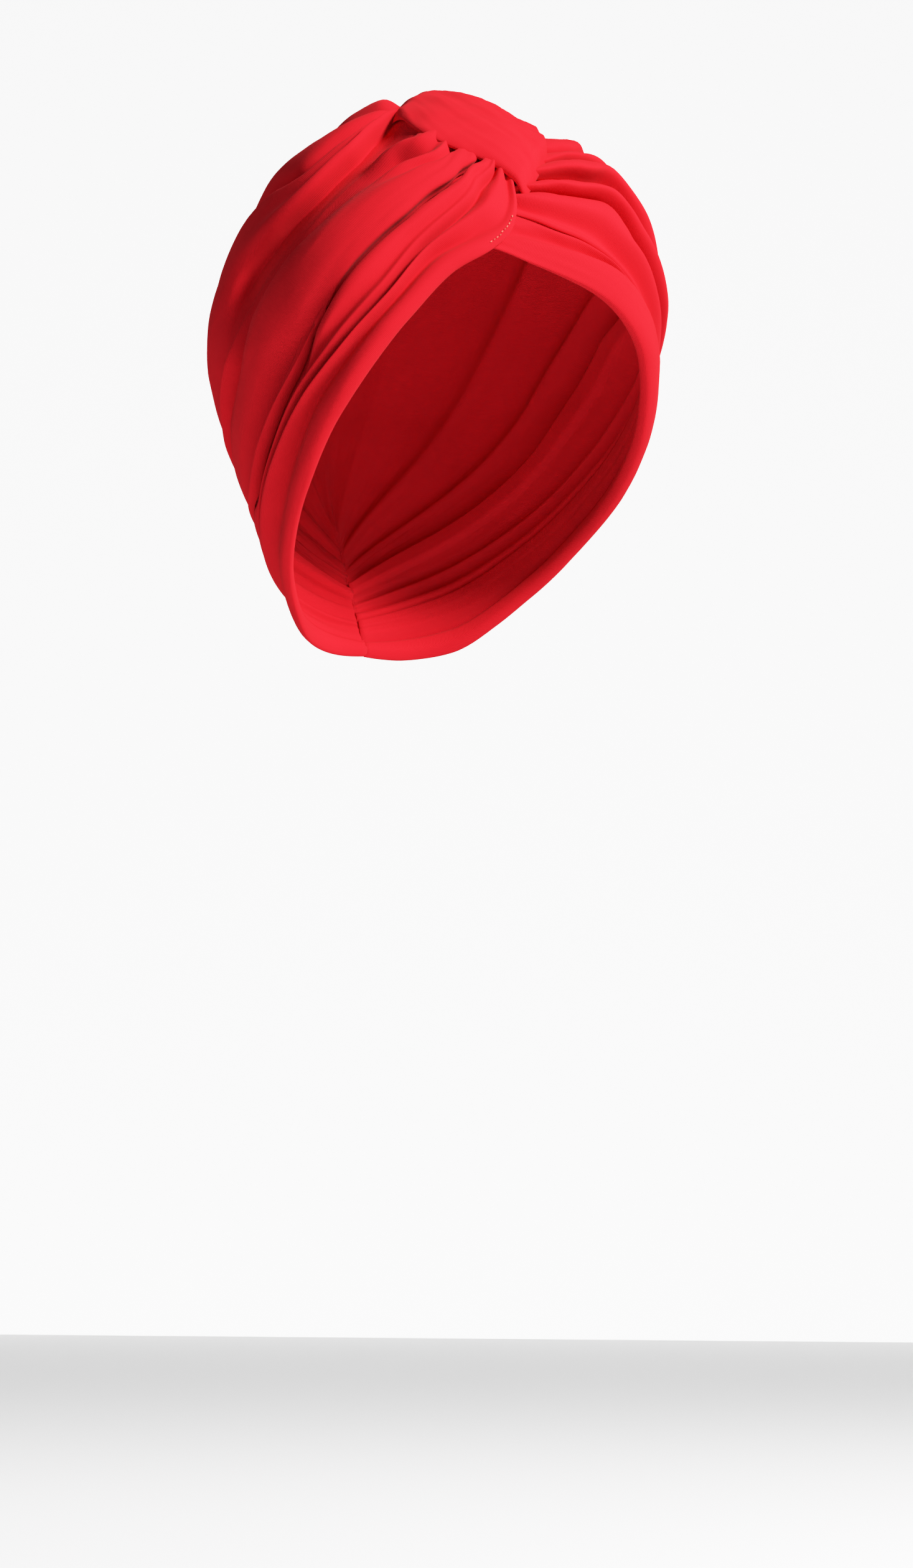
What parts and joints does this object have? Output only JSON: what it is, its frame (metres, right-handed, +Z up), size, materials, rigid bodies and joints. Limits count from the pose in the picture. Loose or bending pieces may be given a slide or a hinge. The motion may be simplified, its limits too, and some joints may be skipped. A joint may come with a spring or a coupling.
{
  "type": "turban headwrap",
  "caption": "Pre-tied stretch jersey turban: a pleated cap with side drapes, a rolled hem round the face and a broad knot band from the forehead over the crown.",
  "frame": {"origin": "inner face of the crown at its highest point, where the top of the head meets it; the head carries the wrap there", "axes": "+Z up, +Y to the back of the head, -X to the wearer's right"},
  "size_m": [0.161, 0.1845, 0.2119],
  "materials": {
    "jersey_crown": "matt stretch jersey, scarlet",
    "jersey_drapes": "matt stretch jersey, scarlet",
    "jersey_hem_band": "matt stretch jersey with a ribbed hem, scarlet",
    "jersey_knot_band": "matt stretch jersey, scarlet"
  },
  "bodies": {
    "root": {"crown": "jersey_crown", "right_drape": "jersey_drapes", "left_drape": "jersey_drapes", "left_front_band": "jersey_hem_band", "knot_band": "jersey_knot_band"}
  },
  "joints": []
}
